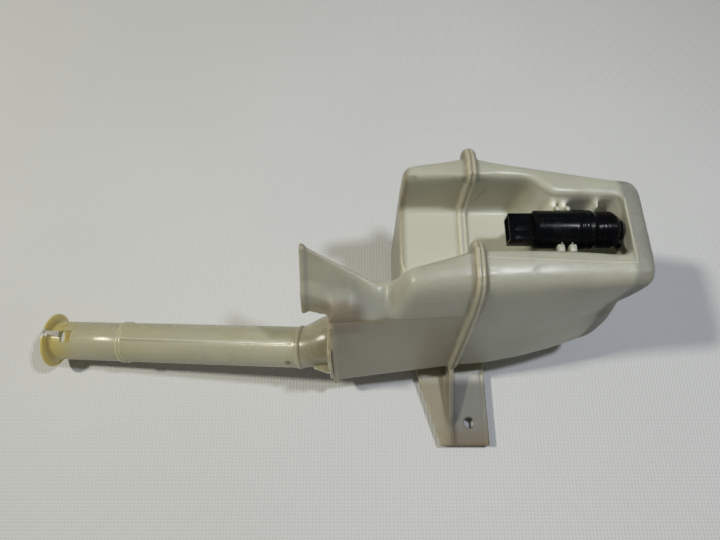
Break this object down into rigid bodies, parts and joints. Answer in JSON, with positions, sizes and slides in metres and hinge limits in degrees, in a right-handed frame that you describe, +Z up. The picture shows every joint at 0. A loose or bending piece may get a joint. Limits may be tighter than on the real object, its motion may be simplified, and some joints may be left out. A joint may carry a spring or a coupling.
{
  "type": "washer fluid reservoir",
  "caption": "Milky moulded washer fluid tank in two welded halves, with a long filler neck and flared mouth, a bolt bracket, and an electric pump clipped in a top pocket.",
  "frame": {"origin": "centre of the bolt hole in the fixing bracket, halfway through its plate", "axes": "+X from the filler mouth towards the pump end, +Y from the bracket foot towards the back ridge, +Z up along the bolt hole as the tank lies on its back"},
  "size_m": [0.5262, 0.2219, 0.192],
  "materials": {
    "milky_plastic": "translucent milky moulded polymer with a soft sheen and grime along the seams",
    "yellowed_plastic": "translucent polymer, yellowed with age",
    "black_plastic": "black moulded polymer, satin",
    "dark_plastic": "dark grey moulded polymer",
    "seal_rubber": "soft black rubber",
    "natural_plastic": "natural off-white polymer",
    "can_steel": "zinc-plated drawn steel",
    "ferrite": "sintered ferrite, dark grey",
    "carbon": "pressed carbon",
    "spring_brass": "bare spring brass",
    "bearing_bronze": "sintered bronze",
    "shaft_steel": "ground steel",
    "core_steel": "stacked steel laminations",
    "copper_wire": "enamelled copper wire",
    "copper_bars": "copper bars"
  },
  "bodies": {
    "tank": {"neck_half": "milky_plastic", "pump_half": "milky_plastic", "filler_neck": "milky_plastic", "filler_mouth": "yellowed_plastic", "motor_housing": "black_plastic", "pump_head": "black_plastic", "seal_plate": "dark_plastic", "neck_seal": "seal_rubber", "head_seal": "seal_rubber", "shaft_seal": "seal_rubber", "inlet_grommet": "seal_rubber", "inlet_strainer": "natural_plastic", "brush_holder": "natural_plastic", "motor_can": "can_steel", "magnet_pair": "ferrite", "brush_pair": "carbon", "brush_arms": "spring_brass", "terminal_pins": "spring_brass", "rear_bush": "bearing_bronze", "front_bush": "bearing_bronze"},
    "rotor": {"motor_shaft": "shaft_steel", "armature_core": "core_steel", "armature_winding": "copper_wire", "commutator": "copper_bars", "impeller": "natural_plastic"}
  },
  "joints": [
    {"name": "rotor_spin", "type": "hinge", "parent": "tank", "child": "rotor", "pos_m": [0.0515, 0.1315, 0.162], "axis": [1, 0, 0], "continuous": true}
  ]
}
